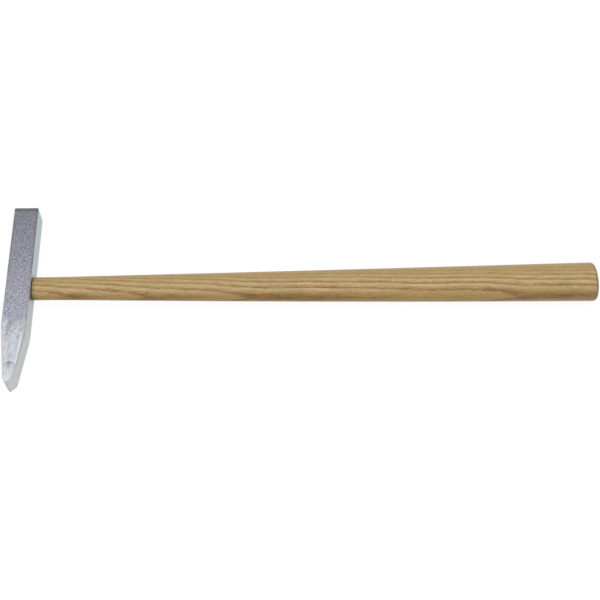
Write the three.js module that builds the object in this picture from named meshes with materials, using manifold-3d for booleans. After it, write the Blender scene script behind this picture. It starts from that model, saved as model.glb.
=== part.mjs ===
// Chipping hammer: a ground head of square bar on an oval ash handle, held by two wedges.
//
// Millimetres, +Z up. The hammer lies on its side on the plane Z = 0. +X runs from the head
// along the handle to its butt, +Y towards the flat poll, -Y towards the chisel edge. The
// pieces are modelled about the centre of the eye and moved together at the end, so that
// the origin is under the middle of the whole hammer.

import * as THREE from 'three';
import { mergeVertices } from 'three/addons/utils/BufferGeometryUtils.js';
import Module from 'manifold-3d';

const wasm = await Module();
wasm.setup();

// ---------------------------------------------------------------- driving sizes

// Head: one length of square bar.
const barSide = 16;             // width and thickness of the bar
const pollReach = 58.5;         // handle's centre line to the flat poll
const chiselReach = 70.7;       // handle's centre line to the chisel edge
const barBreak = 0.5;           // small flat along each long edge of the bar
const pollBreak = 0.6;          // the same round the poll

// Chisel end: two long ground flats, then two short bevels that meet in the edge. It is
// ground by eye, so the edge is off the middle and the two sides differ.
const flatLength = 36.2;        // chisel edge to the shoulder where the flats start
const outerBlade = 3.6;         // middle to the outer side where its short bevel starts
const innerBlade = 3.1;         // the same on the handle's side
const outerBevel = 3.0;         // height of the short bevel on the outer side
const innerBevel = 3.9;         // the same on the handle's side
const edgeShift = 0.9;          // the edge is this far off the middle, to the outer side
const edgeLand = 0.4;           // the edge is left this blunt
const edgeCorner = 1.8;         // radius at both ends of the edge
const outerBreak = 2.0;         // wide ground corners at the shoulder, on the outer side
const innerBreak = 2.1;         // the one on the handle's side, upper cheek only
const outerBladeBreak = 0.7;    // the outer corners where the short bevels start
const innerBladeBreak = 1.1;    // the one on the handle's side there
const breakFade = 4;            // the wide corners fade into the bar's over this length
const hollowReach = 13.9;       // chisel edge to the top of the hollow ground in each cheek
const hollowDepth = 0.4;        // depth of that hollow at the chisel edge
const hollowWheelRadius = 62;   // wheel that ground it

// Eye: an oval hole, wider at its outer mouth so that the wedges can spread the tenon.
const eyeLength = 14.2;         // along the head, at the waist
const eyeWidth = 9.2;           // across the head, at the waist
const eyeFlare = 0.7;           // how much wider each way at the outer mouth
const fitGap = 0.3;             // clearance left round the tenon and the wedges

// Handle: oval, slim at the head, swelling to the butt.
const handleReach = 378;        // eye's centre to the end of the butt
const neckStraight = 18;        // length of even section beyond the head
const shoulderSeat = 0.4;       // flat ring round the tenon that seats on the head
const shoulderRound = 0.6;      // rounding outside that ring
const buttHeight = 27.2;
const buttThickness = 20.8;
const buttRound = 2.6;          // rounding of the butt's rim
const swell = 0.2;              // how much of the growth comes early
const bow = 0.55;               // the middle bends this far towards the chisel

// Wedges, driven into the tenon from the outer end.
const kerfStop = 2.4;           // the saw kerf ends this far inside the handle's side
const woodWedgeHead = 2.6;      // thickness at the driven end
const woodWedgeTip = 0.9;       // thickness at the thin end
const woodUnderSteel = 3;       // wooden wedge left uncut below the steel one
const steelWedgeWidth = 8;
const steelWedgeHead = 2;
const steelWedgeTip = 0.6;
const barbCount = 3;            // barbs on each face of the steel wedge
const barbHeight = 0.25;
const steelWedgeTurn = Math.PI / 4;   // the steel wedge lies across the kerf at this angle

// Fineness.
const ringSteps = 40;           // points round an oval, a multiple of four
const gripSteps = 22;           // rings along the handle's swelling part
const roundSteps = 4;           // rings or points in a rounding
const wheelSteps = 180;         // points round the grinding wheel

// ---------------------------------------------------------------- sizes that follow

const outerFace = -barSide / 2;           // face where the tenon shows its end
const innerFace = barSide / 2;            // face that the handle's shoulder seats on
const shoulderY = flatLength - chiselReach;
const outerBevelY = outerBevel - chiselReach;
const innerBevelY = innerBevel - chiselReach;
const neckHeight = eyeLength + 2 * (shoulderSeat + shoulderRound);
const neckThickness = eyeWidth + 2 * (shoulderSeat + shoulderRound);
const woodWedgeLength = barSide - kerfStop - fitGap;
const steelWedgeLength = woodWedgeLength - woodUnderSteel;
const cutOver = 2;                        // cutters run this far past what they cut

// ---------------------------------------------------------------- helpers

// A closed solid through a row of rings with the same number of points. The rings run
// along +X or +Y, and their points turn so that the skin faces outwards.
function loft(rings) {
  const positions = [];
  const index = [];
  const count = rings[0].length;
  for (const ring of rings) {
    for (const point of ring) positions.push(point.x, point.y, point.z);
  }
  for (let r = 0; r + 1 < rings.length; r += 1) {
    for (let i = 0; i < count; i += 1) {
      const a = r * count + i;
      const b = r * count + (i + 1) % count;
      index.push(a, b, b + count, a, b + count, a + count);
    }
  }
  const last = (rings.length - 1) * count;
  for (let i = 1; i + 1 < count; i += 1) {
    index.push(0, i + 1, i);
    index.push(last, last + i, last + i + 1);
  }
  const geometry = new THREE.BufferGeometry();
  geometry.setAttribute('position', new THREE.Float32BufferAttribute(positions, 3));
  geometry.setIndex(index);
  return geometry;
}

function toSolid(geometry) {
  const bare = geometry.clone();
  bare.deleteAttribute('normal');
  bare.deleteAttribute('uv');
  const merged = mergeVertices(bare, 1e-4);
  return new wasm.Manifold(new wasm.Mesh({
    numProp: 3,
    vertProperties: new Float32Array(merged.attributes.position.array),
    triVerts: new Uint32Array(merged.index.array),
  }));
}

function fromSolid(solid) {
  const mesh = solid.getMesh();
  const geometry = new THREE.BufferGeometry();
  geometry.setAttribute('position', new THREE.BufferAttribute(mesh.vertProperties, 3));
  geometry.setIndex(new THREE.BufferAttribute(mesh.triVerts, 1));
  geometry.computeVertexNormals();
  return geometry;
}

// An oval ring across the X axis.
function oval(x, height, thickness, centreY = 0) {
  const ring = [];
  for (let i = 0; i < ringSteps; i += 1) {
    const turn = (i / ringSteps) * 2 * Math.PI;
    const y = centreY + (height / 2) * Math.cos(turn);
    const z = (thickness / 2) * Math.sin(turn);
    ring.push(new THREE.Vector3(x, y, z));
  }
  return ring;
}

// ---------------------------------------------------------------- eye and tenon

// Extra size of the eye at x: none from the inner face to the waist, then a straight flare.
function flareAt(x) {
  const share = Math.max(0, -x / (barSide / 2));
  return 2 * eyeFlare * share;
}

// The eye's shape, or with a gap taken off, the tenon that fills it.
function eyeRing(x, gap) {
  const height = eyeLength + flareAt(x) - 2 * gap;
  const thickness = eyeWidth + flareAt(x) - 2 * gap;
  return oval(x, height, thickness);
}

function eyeCutter() {
  const stations = [outerFace - cutOver, 0, innerFace + cutOver];
  return toSolid(loft(stations.map((x) => eyeRing(x, 0))));
}

// ---------------------------------------------------------------- head

// A value that runs straight from one [place, value] stop to the next, and stays even beyond.
function along(y, stops) {
  const next = stops.findIndex(([place]) => y <= place);
  if (next === 0) return stops[0][1];
  if (next < 0) return stops[stops.length - 1][1];
  const [startY, startValue] = stops[next - 1];
  const [endY, endValue] = stops[next];
  return THREE.MathUtils.mapLinear(y, startY, endY, startValue, endValue);
}

// One section of the bar across Y: a rectangle with its four corners cut off. Along the
// blade only the upper corner on the handle's side is cut wide.
function barSection(y, outer, inner, halfThickness, outerCut, innerCut) {
  const underCut = Math.min(innerCut, barBreak);
  const corners = [
    [inner - underCut, -halfThickness],
    [-outer + outerCut, -halfThickness],
    [-outer, -halfThickness + outerCut],
    [-outer, halfThickness - outerCut],
    [-outer + outerCut, halfThickness],
    [inner - innerCut, halfThickness],
    [inner, halfThickness - innerCut],
    [inner, -halfThickness + underCut],
  ];
  return corners.map(([x, z]) => new THREE.Vector3(x, y, z));
}

function barBody() {
  const half = barSide / 2;
  const pollHalf = half - pollBreak;
  const land = edgeLand / 2;
  const flatStart = shoulderY - outerBreak / 2;
  const fadeEnd = shoulderY + breakFade;
  const outerStops = [
    [-chiselReach, land + edgeShift], [outerBevelY, outerBlade], [shoulderY, half],
  ];
  const innerStops = [
    [-chiselReach, land - edgeShift], [innerBevelY, innerBlade], [shoulderY, half],
  ];
  const outerCuts = [
    [-chiselReach, land / 2], [innerBevelY, outerBladeBreak], [flatStart, outerBreak],
    [fadeEnd, barBreak],
  ];
  const innerCuts = [
    [-chiselReach, land / 2], [innerBevelY, innerBladeBreak], [flatStart, innerBreak],
    [fadeEnd, barBreak],
  ];
  const places = [
    -chiselReach, outerBevelY, innerBevelY, flatStart, shoulderY, fadeEnd, pollReach - pollBreak,
  ];
  const rings = places.map((y) => barSection(
    y, along(y, outerStops), along(y, innerStops), half, along(y, outerCuts), along(y, innerCuts),
  ));
  rings.push(barSection(pollReach, pollHalf, pollHalf, pollHalf, barBreak, barBreak));
  return toSolid(loft(rings));
}

// Everything inside the head's outline seen along X: the chisel edge has rounded ends.
function endOutline() {
  const half = barSide / 2;
  const outline = new THREE.Shape();
  outline.moveTo(-half, pollReach + cutOver);
  outline.lineTo(-half, edgeCorner - chiselReach);
  outline.absarc(-half + edgeCorner, edgeCorner - chiselReach, edgeCorner, Math.PI, 1.5 * Math.PI);
  outline.absarc(half - edgeCorner, edgeCorner - chiselReach, edgeCorner, 1.5 * Math.PI, 2 * Math.PI);
  outline.lineTo(half, pollReach + cutOver);
  const depth = barSide + 2 * cutOver;
  const geometry = new THREE.ExtrudeGeometry(outline, {
    depth, bevelEnabled: false, curveSegments: 2 * roundSteps,
  });
  // The outline's first axis becomes Z, and it is pushed out along X.
  geometry.translate(0, 0, -depth / 2);
  geometry.rotateY(-Math.PI / 2);
  return toSolid(geometry);
}

// The wheel that hollows one cheek, tilted so that it dips towards the chisel edge.
function hollowWheel(side) {
  const tilt = Math.atan(hollowDepth / hollowReach);
  const wheelLength = 4 * hollowReach;
  const geometry = new THREE.CylinderGeometry(
    hollowWheelRadius, hollowWheelRadius, wheelLength, wheelSteps,
  );
  // A corner of the many-sided wheel would leave a ridge, so a flat of it faces the cheek.
  geometry.rotateY(Math.PI / wheelSteps);
  geometry.rotateX(side * tilt);
  const centreY = hollowReach - chiselReach;
  const lift = barSide / 2 + hollowWheelRadius / Math.cos(tilt);
  geometry.translate(0, centreY, side * lift);
  return toSolid(geometry);
}

function makeHead() {
  const solid = barBody()
    .intersect(endOutline())
    .subtract(hollowWheel(1))
    .subtract(hollowWheel(-1))
    .subtract(eyeCutter());
  return fromSolid(solid);
}

// ---------------------------------------------------------------- wedges

// The wooden wedge in side view: thick end outside, thin end in the handle.
function woodWedgeBlock(gap, overrun) {
  const headHalf = woodWedgeHead / 2 + gap;
  const tipHalf = woodWedgeTip / 2 + gap;
  const width = eyeLength + 2 * eyeFlare + 2 * cutOver;
  const outline = new THREE.Shape();
  const slope = (headHalf - tipHalf) / woodWedgeLength;
  outline.moveTo(outerFace - overrun, headHalf + slope * overrun);
  outline.lineTo(outerFace - overrun, -headHalf - slope * overrun);
  outline.lineTo(outerFace + woodWedgeLength + gap, -tipHalf);
  outline.lineTo(outerFace + woodWedgeLength + gap, tipHalf);
  const geometry = new THREE.ExtrudeGeometry(outline, { depth: width, bevelEnabled: false });
  // The outline's second axis becomes Z, and its depth lies along Y.
  geometry.translate(0, 0, -width / 2);
  geometry.rotateX(Math.PI / 2);
  return toSolid(geometry);
}

// Half the steel wedge's thickness this far in from its driven end.
function steelHalfAt(depth) {
  const half = THREE.MathUtils.mapLinear(depth, 0, steelWedgeLength, steelWedgeHead, steelWedgeTip);
  return half / 2;
}

// An outline in side view, pushed out to a width and turned to lie across the kerf.
function acrossKerf(upperPoints, width) {
  const lowerPoints = upperPoints.map(([x, y]) => [x, -y]).reverse();
  const points = [...upperPoints, ...lowerPoints].map(([x, y]) => new THREE.Vector2(x, y));
  const geometry = new THREE.ExtrudeGeometry(new THREE.Shape(points), {
    depth: width, bevelEnabled: false,
  });
  geometry.translate(0, 0, -width / 2);
  geometry.rotateX(steelWedgeTurn);
  return toSolid(geometry);
}

// The steel wedge, with barbs like saw teeth on both faces that hold it in.
function steelWedgeSolid() {
  const pitch = steelWedgeLength / (barbCount + 0.5);
  const upper = [[outerFace, steelHalfAt(0)]];
  for (let i = 0; i < barbCount; i += 1) {
    const start = (i + 0.5) * pitch;
    const end = start + 0.7 * pitch;
    upper.push([outerFace + start, steelHalfAt(start)]);
    upper.push([outerFace + start, steelHalfAt(start) + barbHeight]);
    upper.push([outerFace + end, steelHalfAt(end)]);
  }
  upper.push([outerFace + steelWedgeLength, steelHalfAt(steelWedgeLength)]);
  return acrossKerf(upper, steelWedgeWidth);
}

// The slot that the steel wedge and its barbs cut for themselves.
function steelWedgeSlot() {
  const room = barbHeight + fitGap;
  const upper = [
    [outerFace - cutOver, steelHalfAt(-cutOver) + room],
    [outerFace + steelWedgeLength + fitGap, steelHalfAt(steelWedgeLength) + room],
  ];
  return acrossKerf(upper, steelWedgeWidth + 2 * fitGap);
}

// What fits inside the eye with the clearance taken off, up to the outer face.
function tenonBlock() {
  return toSolid(loft([outerFace, 0, innerFace + cutOver].map((x) => eyeRing(x, fitGap))));
}

function makeWoodenWedge() {
  const solid = woodWedgeBlock(0, 0)
    .intersect(tenonBlock())
    .subtract(steelWedgeSlot());
  return fromSolid(solid);
}

function makeSteelWedge() {
  return fromSolid(steelWedgeSolid());
}

// ---------------------------------------------------------------- handle

// Ring of the handle beyond the head. Share is 0 where the swelling starts, 1 at the butt.
function gripRing(x, share, inset = 0) {
  const growth = share * (1 + swell * (1 - share));
  const height = THREE.MathUtils.lerp(neckHeight, buttHeight, growth);
  const thickness = THREE.MathUtils.lerp(neckThickness, buttThickness, growth);
  const centreY = -bow * Math.sin(Math.PI * share);
  return oval(x, height - 2 * inset, thickness - 2 * inset, centreY);
}

function handleBody() {
  const rings = [outerFace, 0, innerFace].map((x) => eyeRing(x, fitGap));
  const swellStart = innerFace + neckStraight;
  for (let i = 0; i <= roundSteps; i += 1) {
    const turn = (i / roundSteps) * (Math.PI / 2);
    const x = innerFace + shoulderRound * (1 - Math.cos(turn));
    rings.push(gripRing(x, 0, shoulderRound * (1 - Math.sin(turn))));
  }
  const roundStart = handleReach - buttRound;
  for (let i = 0; i <= gripSteps; i += 1) {
    const x = THREE.MathUtils.lerp(swellStart, roundStart, i / gripSteps);
    rings.push(gripRing(x, i / gripSteps));
  }
  for (let i = 1; i <= roundSteps; i += 1) {
    const turn = (i / roundSteps) * (Math.PI / 2);
    const x = roundStart + buttRound * Math.sin(turn);
    rings.push(gripRing(x, 1, buttRound * (1 - Math.cos(turn))));
  }
  return toSolid(loft(rings));
}

function makeHandle() {
  const solid = handleBody()
    .subtract(woodWedgeBlock(fitGap, cutOver))
    .subtract(steelWedgeSlot());
  return fromSolid(solid);
}

// ---------------------------------------------------------------- materials and assembly

const paintedSteel = new THREE.MeshStandardMaterial({ color: 0x9a9aa4, metalness: 0.6, roughness: 0.45 });
const bareSteel = new THREE.MeshStandardMaterial({ color: 0xb9bcc0, metalness: 1, roughness: 0.35 });
const ash = new THREE.MeshStandardMaterial({ color: 0xab8f65, metalness: 0, roughness: 0.6 });
const beech = new THREE.MeshStandardMaterial({ color: 0xb98a5e, metalness: 0, roughness: 0.7 });

const hammer = new THREE.Group();

function addPiece(name, geometry, material) {
  const piece = new THREE.Mesh(geometry, material);
  piece.name = name;
  hammer.add(piece);
}

addPiece('head', makeHead(), paintedSteel);
addPiece('handle', makeHandle(), ash);
addPiece('wooden_wedge', makeWoodenWedge(), beech);
addPiece('steel_wedge', makeSteelWedge(), bareSteel);

// Put the origin under the middle of the hammer, on the plane that it lies on.
const middleX = (handleReach + outerFace) / 2;
const middleY = (pollReach - chiselReach) / 2;
const lowestZ = -Math.max(barSide, buttThickness) / 2;
hammer.position.set(-middleX, -middleY, -lowestZ);

export default hammer;
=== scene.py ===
# %% [markdown]
# # A chipping hammer
#
# A chipping hammer knocks slag off a weld. This one is as simple as a tool gets: a length of
# square steel bar, ground to a blunt chisel at one end, and an ash handle that goes through
# an oval eye in it. Two wedges spread the end of the handle inside the eye.
#
# The pieces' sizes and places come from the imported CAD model. This script makes the pieces
# again as fine meshes that fill the same space, gives them their finishes, and sets up a
# plain studio with a camera.

# %% Load the frame
import math
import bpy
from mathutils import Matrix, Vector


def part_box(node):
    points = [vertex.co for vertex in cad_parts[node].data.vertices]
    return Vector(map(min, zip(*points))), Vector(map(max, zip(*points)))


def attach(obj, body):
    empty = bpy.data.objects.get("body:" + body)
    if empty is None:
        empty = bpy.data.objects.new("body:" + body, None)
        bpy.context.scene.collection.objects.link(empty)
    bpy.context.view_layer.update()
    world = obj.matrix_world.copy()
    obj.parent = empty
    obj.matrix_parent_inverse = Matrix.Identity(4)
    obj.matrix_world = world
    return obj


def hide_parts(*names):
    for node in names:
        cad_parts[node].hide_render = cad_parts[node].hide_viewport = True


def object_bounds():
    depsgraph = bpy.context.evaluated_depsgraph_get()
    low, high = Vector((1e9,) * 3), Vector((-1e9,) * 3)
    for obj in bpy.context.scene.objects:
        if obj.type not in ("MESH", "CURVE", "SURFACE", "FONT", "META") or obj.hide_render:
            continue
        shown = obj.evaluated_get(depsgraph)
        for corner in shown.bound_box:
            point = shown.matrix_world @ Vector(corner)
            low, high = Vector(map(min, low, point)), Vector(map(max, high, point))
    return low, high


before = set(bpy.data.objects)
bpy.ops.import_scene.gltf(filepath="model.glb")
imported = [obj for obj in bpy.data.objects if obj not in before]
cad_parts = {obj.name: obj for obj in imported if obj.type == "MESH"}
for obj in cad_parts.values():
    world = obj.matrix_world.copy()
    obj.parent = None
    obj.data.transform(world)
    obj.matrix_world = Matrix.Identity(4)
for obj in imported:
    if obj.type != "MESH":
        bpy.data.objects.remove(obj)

from types import SimpleNamespace

import bpy
import numpy as np
from mathutils import Matrix, Vector, noise

cad_low, cad_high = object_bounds()

# %% [markdown]
# ## Where things are
#
# All sizes below are millimetres from the middle of the eye, the hole where head and handle
# cross, as in a workshop drawing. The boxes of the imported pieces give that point: the head
# gives its height and its place along the handle, and the steel wedge, which sits in the
# middle of the eye, gives its place along the head.

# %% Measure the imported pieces
MM = 0.001
head_low, head_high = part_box("head")
wedge_low, wedge_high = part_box("steel_wedge")
handle_low, handle_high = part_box("handle")

eye = Vector((
    (head_low.x + head_high.x) / 2,
    (wedge_low.y + wedge_high.y) / 2,
    (head_low.z + head_high.z) / 2,
))
BAR = (head_high.x - head_low.x) / MM  # side of the square bar
POLL_REACH = (head_high.y - eye.y) / MM  # eye to the flat poll
CHISEL_REACH = (eye.y - head_low.y) / MM  # eye to the chisel edge
HANDLE_REACH = (handle_high.x - eye.x) / MM  # eye to the end of the butt
BUTT_THICKNESS = (handle_high.z - handle_low.z) / MM
print(f"bar {BAR:.1f}, poll {POLL_REACH:.1f}, chisel {CHISEL_REACH:.1f}, handle {HANDLE_REACH:.1f} mm")


# %% [markdown]
# ## Turning lists of points into meshes
#
# Every piece here is a row of closed rings with the same number of points, joined like the
# staves of a barrel. That is called a loft. It suits a bar whose section changes along its
# length as well as an oval handle, and its rows can be as fine as the finish needs.

# %% Helpers for meshes
CREASE = math.radians(32)


def in_scene(name, data):
    """A new object in the scene, made of the data."""
    made = bpy.data.objects.new(name, data)
    bpy.context.scene.collection.objects.link(made)
    return made


def new_piece(name, points, faces):
    """An object from points in millimetres about the eye, placed in the row frame."""
    mesh = bpy.data.meshes.new(name)
    placed = np.asarray(points, float) * MM + np.array(eye)
    mesh.from_pydata(placed.tolist(), [], faces)
    mesh.validate()
    return in_scene(name, mesh)


def loft(rings):
    """Points and faces of a closed solid through rings, each an (n, 3) array."""
    count = len(rings[0])
    points = np.concatenate(rings)
    faces = []
    for r in range(len(rings) - 1):
        for i in range(count):
            a = r * count + i
            b = r * count + (i + 1) % count
            faces.append((a, b, b + count, a + count))
    last = (len(rings) - 1) * count
    faces.append(tuple(range(count))[::-1])
    faces.append(tuple(range(last, last + count)))
    return points, faces


def oval_ring(x, height, thickness, centre_y=0.0, count=72):
    """A ring round the handle's axis: height along the head, thickness across it."""
    turn = np.arange(count) / count * 2 * math.pi
    ring = np.zeros((count, 3))
    ring[:, 0] = x
    ring[:, 1] = centre_y + height / 2 * np.cos(turn)
    ring[:, 2] = thickness / 2 * np.sin(turn)
    return ring


def cut_away(piece, cutter, keep_inside=False):
    """Takes the cutter's space out of the piece, or keeps only that, and removes the cutter."""
    cut = piece.modifiers.new("cut", "BOOLEAN")
    cut.operation = "INTERSECT" if keep_inside else "DIFFERENCE"
    cut.solver = "EXACT"
    cut.object = cutter
    bpy.context.view_layer.update()
    depsgraph = bpy.context.evaluated_depsgraph_get()
    made = bpy.data.meshes.new_from_object(piece.evaluated_get(depsgraph))
    piece.modifiers.clear()
    piece.data = made
    bpy.data.objects.remove(cutter)


def soften(piece):
    """Soft shading over gentle bends, and a crease where faces meet more sharply."""
    piece.data.shade_smooth()
    piece.data.set_sharp_from_angle(angle=CREASE)


def soft_min(a, b, width):
    """The smaller of a and b, with the corner between them rounded over the width."""
    h = np.clip(0.5 + 0.5 * (b - a) / width, 0, 1)
    return b + (a - b) * h - width * h * (1 - h)


# %% [markdown]
# ## The head
#
# The head starts as 16 mm square bar. One end is faced off flat, the poll. The other is
# ground on both sides into a long taper, and two short bevels meet in a blunt edge that lies
# across the handle, like an adze's. It was ground by eye, so the edge is a little off the
# middle and the bevel on the handle's side is longer. Near the edge each cheek was touched on
# a wheel, which leaves a shallow hollow with an arched top. The long corners are broken with
# a narrow flat, and by the shoulder with a much wider one.
#
# The section at each place along the head is a rectangle with cut corners, so a few short
# functions say how wide, how thick and how much cut it is there.

# %% Sizes of the head
FLAT_LENGTH = 36.2  # chisel edge to the shoulder of the taper
OUTER_BLADE = 3.6  # middle to the outer side where its short bevel starts
INNER_BLADE = 3.1  # the same on the handle's side
OUTER_BEVEL = 3.0  # height of the short bevel on the outer side
INNER_BEVEL = 3.9  # the same on the handle's side
EDGE_SHIFT = 0.9  # the edge is this far off the middle, towards the outer side
EDGE_LAND = 0.4  # the edge is left this blunt
EDGE_CORNER = 1.8  # rounding at both ends of the edge
BAR_BREAK = 0.5  # flat along each corner of the bar
POLL_BREAK = 0.6  # the same round the poll
OUTER_BREAK = 2.0  # corner taken off at the shoulder, outer side
INNER_BREAK = 2.1  # the same on the handle's side
OUTER_BLADE_BREAK = 0.7  # corner where the bevel starts, outer side
INNER_BLADE_BREAK = 1.1  # the same on the handle's side
EDGE_BREAK = 0.1  # corner at the very edge
BREAK_FADE = 4.0  # the wide corners fade into the bar's over this length
WIDEST_CUT = 0.3  # no corner takes more than this share of the side
HOLLOW_REACH = 13.9  # chisel edge to the top of the hollow
HOLLOW_DEPTH = 0.4  # its depth at the edge
HOLLOW_WHEEL = 62.0  # radius of the wheel that made it
SHOULDER_SOFT = 0.5  # how much the grinder rounded the shoulder
BEVEL_SOFT = 0.2  # the same where the bevels start

HALF = BAR / 2
SHOULDER_Y = FLAT_LENGTH - CHISEL_REACH
BEVEL_Y = INNER_BEVEL - CHISEL_REACH
HOLLOW_TOP_Y = HOLLOW_REACH - CHISEL_REACH


def side_reach(y, blade, bevel, edge):
    """How far one side of the head is from the middle, at a place along the head."""
    above_edge = y + CHISEL_REACH
    taper = blade + (above_edge - bevel) * (HALF - blade) / (FLAT_LENGTH - bevel)
    short = edge + above_edge * (blade - edge) / bevel
    return soft_min(soft_min(HALF, taper, SHOULDER_SOFT), short, BEVEL_SOFT)


def outer_reach(y):
    return side_reach(y, OUTER_BLADE, OUTER_BEVEL, EDGE_LAND / 2 + EDGE_SHIFT)


def inner_reach(y):
    return side_reach(y, INNER_BLADE, INNER_BEVEL, EDGE_LAND / 2 - EDGE_SHIFT)


def half_thickness(y):
    """Half the head's thickness, less where the ends of the chisel edge are rounded."""
    into = min(max(y + CHISEL_REACH, 0), EDGE_CORNER)
    return HALF - EDGE_CORNER + math.sqrt(EDGE_CORNER ** 2 - (EDGE_CORNER - into) ** 2)


def corner_cuts(y):
    """How much is cut off the outer and the inner corners."""
    places = [-CHISEL_REACH, BEVEL_Y, SHOULDER_Y - OUTER_BREAK / 2, SHOULDER_Y + BREAK_FADE]
    outer = np.interp(y, places, [EDGE_BREAK, OUTER_BLADE_BREAK, OUTER_BREAK, BAR_BREAK])
    inner = np.interp(y, places, [EDGE_BREAK, INNER_BLADE_BREAK, INNER_BREAK, BAR_BREAK])
    return outer, inner


print(f"taper starts {SHOULDER_Y:.1f} mm and bevels start {BEVEL_Y:.1f} mm from the eye")

# %% [markdown]
# A section is walked round from flat to cut corner to flat. Points sit close together beside
# each corner, so that the corner shades as a small rounding. The hollows then press the
# cheeks in, and a little noise roughens the skin.

# %% Rings of the head
FLAT_STOPS = (0.02, 0.07, 0.14, 0.22, 0.3, 0.38, 0.46, 0.54, 0.62, 0.7, 0.78, 0.86, 0.93, 0.98)
CUT_STOPS = (0.12, 0.5, 0.88)
POLL_STOPS = (1.0, 0.94, 0.82, 0.64, 0.44, 0.24, 0.06)  # rings that close the poll


def head_section(y, inset=0.0):
    """The ring at y, its points from the under cheek over the outer side to the inner side."""
    x_out = inset - outer_reach(y)
    x_in = inner_reach(y) - inset
    hz = half_thickness(y) - inset
    outer, inner = (min(cut, (x_in - x_out) * WIDEST_CUT) for cut in corner_cuts(y))
    under = min(inner, BAR_BREAK)
    corners = [
        (x_in - under, -hz), (x_out + outer, -hz), (x_out, -hz + outer), (x_out, hz - outer),
        (x_out + outer, hz), (x_in - inner, hz), (x_in, hz - inner), (x_in, -hz + under),
    ]
    ring = []
    for i, (x0, z0) in enumerate(corners):
        x1, z1 = corners[(i + 1) % len(corners)]
        for stop in FLAT_STOPS if i % 2 == 0 else CUT_STOPS:
            ring.append((x0 + (x1 - x0) * stop, y, z0 + (z1 - z0) * stop))
    return np.array(ring)


def press_hollows(points):
    """Presses the two ground hollows into the cheeks."""
    below = HOLLOW_TOP_Y - points[:, 1]
    pressed = HALF - HOLLOW_DEPTH / HOLLOW_REACH * below + points[:, 0] ** 2 / 2 / HOLLOW_WHEEL
    limit = np.where(below > 0, pressed, 2 * HALF)
    points[:, 2] = np.clip(points[:, 2], -limit, limit)


def head_rings():
    """All rings from the chisel edge to the middle of the poll, closer where it bends."""
    bevel = np.linspace(-CHISEL_REACH, BEVEL_Y + 0.4, 15)
    hollow = np.arange(BEVEL_Y + 0.7, HOLLOW_TOP_Y + 0.6, 0.35)
    taper = np.arange(HOLLOW_TOP_Y + 1.0, SHOULDER_Y - 4, 0.8)
    shoulder = np.arange(SHOULDER_Y - 3.6, SHOULDER_Y + 4, 0.4)
    bar = np.arange(SHOULDER_Y + 4.6, POLL_REACH - POLL_BREAK - 0.6, 1.0)
    rings = [head_section(y) for y in np.concatenate([bevel, hollow, taper, shoulder, bar])]
    for turn in np.radians([0, 25, 50, 75]):
        y = POLL_REACH - POLL_BREAK * (1 - math.sin(turn))
        rings.append(head_section(y, POLL_BREAK * (1 - math.cos(turn))))
    for share in POLL_STOPS:
        rings.append(head_section(POLL_REACH, POLL_BREAK) * np.array([share, 1, share]))
    return rings


rings = head_rings()
for ring in rings:
    press_hollows(ring)
head_points, head_faces = loft(rings)
print("head:", len(rings), "rings,", len(head_faces), "faces")


# %% Roughen the surface a little
RIPPLES = ((0.035, 7.0, 3.1), (0.015, 2.2, 8.4))  # height and size in millimetres, and a seed
SINK = 0.05  # the sum of the heights, so none stands out
FLATNESS = 7  # how sharply the direction turns at a corner


def ripple(points, size, seed):
    """Smooth noise at each point, about -1 to 1."""
    return np.array([noise.noise(Vector(p) / size + Vector((seed, 0, 0))) for p in points.tolist()])


def outward(points):
    """Roughly which way the head's skin faces: along whichever side the point is on."""
    outer = np.array([outer_reach(y) for y in points[:, 1]])
    inner = np.array([inner_reach(y) for y in points[:, 1]])
    from_middle = (2 * points[:, 0] + outer - inner) / (outer + inner)
    away = np.stack([from_middle, points[:, 2] / HALF], 1) ** FLATNESS
    away /= np.linalg.norm(away, axis=1)[:, None] + 1e-9
    return np.stack([away[:, 0], np.zeros(len(points)), away[:, 1]], 1)


waves = sum(height * ripple(head_points, size, seed) for height, size, seed in RIPPLES) - SINK
head_points = head_points + outward(head_points) * waves[:, None]
print(f"skin between {waves.min():.3f} and {waves.max():.3f} mm off the drawn shape")

# %% [markdown]
# The eye is cut last. Its cutter is a loft too: straight from the handle's side to the
# waist, then flaring to the outer face, with a small lip where the file took the burr off.

# %% Cut the eye
EYE_LENGTH = 14.2
EYE_WIDTH = 9.2
EYE_FLARE = 0.7  # it widens this much on each side towards the outer face
LIP = 0.35


def eye_size(x):
    """The eye's length and width at x: even to the waist, then wider to the outer face."""
    grow = 2 * EYE_FLARE * max(0.0, -x / HALF)
    return EYE_LENGTH + grow, EYE_WIDTH + grow


def eye_cutter():
    rings = []
    for x, extra in ((-HALF - 1, LIP + 1), (-HALF, LIP), (-HALF + LIP, 0), (0, 0), (HALF - LIP, 0),
                     (HALF, LIP), (HALF + 1, LIP + 1)):
        length, width = eye_size(x)
        rings.append(oval_ring(x, length + 2 * extra, width + 2 * extra))
    return new_piece("eye_cutter", *loft(rings))


head = new_piece("head_steel", head_points, head_faces)
cut_away(head, eye_cutter())
soften(head)
print("head with its eye:", len(head.data.polygons), "faces")

# %% [markdown]
# ## The handle
#
# The handle is ash, turned and sanded to an oval. It leaves the head slim and even for a
# finger's width, then swells all the way to the butt, whose rim is rounded for the palm.
# It isn't dead straight. Its tenon fills the eye to the outer face.

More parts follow.
